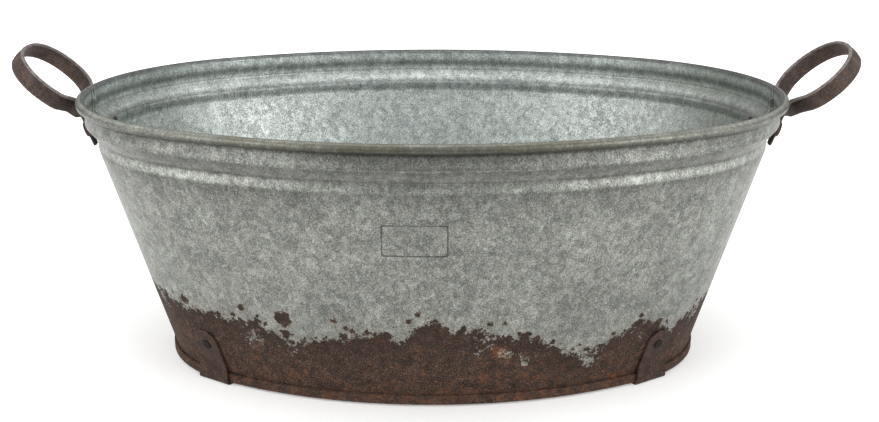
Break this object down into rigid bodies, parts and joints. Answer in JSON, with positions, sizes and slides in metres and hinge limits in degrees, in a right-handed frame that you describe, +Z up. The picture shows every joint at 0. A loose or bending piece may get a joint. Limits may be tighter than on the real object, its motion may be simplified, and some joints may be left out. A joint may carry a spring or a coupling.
{
  "type": "galvanized tub",
  "caption": "Oval galvanized laundry tub with flaring sheet-steel sides, wired rim, strap handles and hooked feet.",
  "frame": {"origin": "centre of the tub's footprint on the floor, at the underside of the feet", "axes": "+X along the tub's length to the right-hand handle, +Y to the back, +Z up"},
  "size_m": [0.8362, 0.5, 0.3137],
  "materials": {
    "zinc_sheet": "hot-dip galvanized, weathered",
    "base_sheet": "galvanized, rusted through at the seam",
    "rim_wire": "drawn wire",
    "handle_iron": "rusted strap iron",
    "foot_iron": "rusted plate",
    "rivet_iron": "rusted rivet"
  },
  "bodies": {
    "root": {"front_side_sheet": "zinc_sheet", "back_side_sheet": "zinc_sheet", "base_plate": "base_sheet", "rim_wire": "rim_wire", "left_handle": "handle_iron", "right_handle": "handle_iron", "left_front_handle_rivet": "rivet_iron", "left_front_foot": "foot_iron", "left_front_foot_rivet": "rivet_iron", "left_back_handle_rivet": "rivet_iron", "left_back_foot": "foot_iron", "left_back_foot_rivet": "rivet_iron", "right_front_handle_rivet": "rivet_iron", "right_front_foot": "foot_iron", "right_front_foot_rivet": "rivet_iron", "right_back_handle_rivet": "rivet_iron", "right_back_foot": "foot_iron", "right_back_foot_rivet": "rivet_iron"}
  },
  "joints": []
}
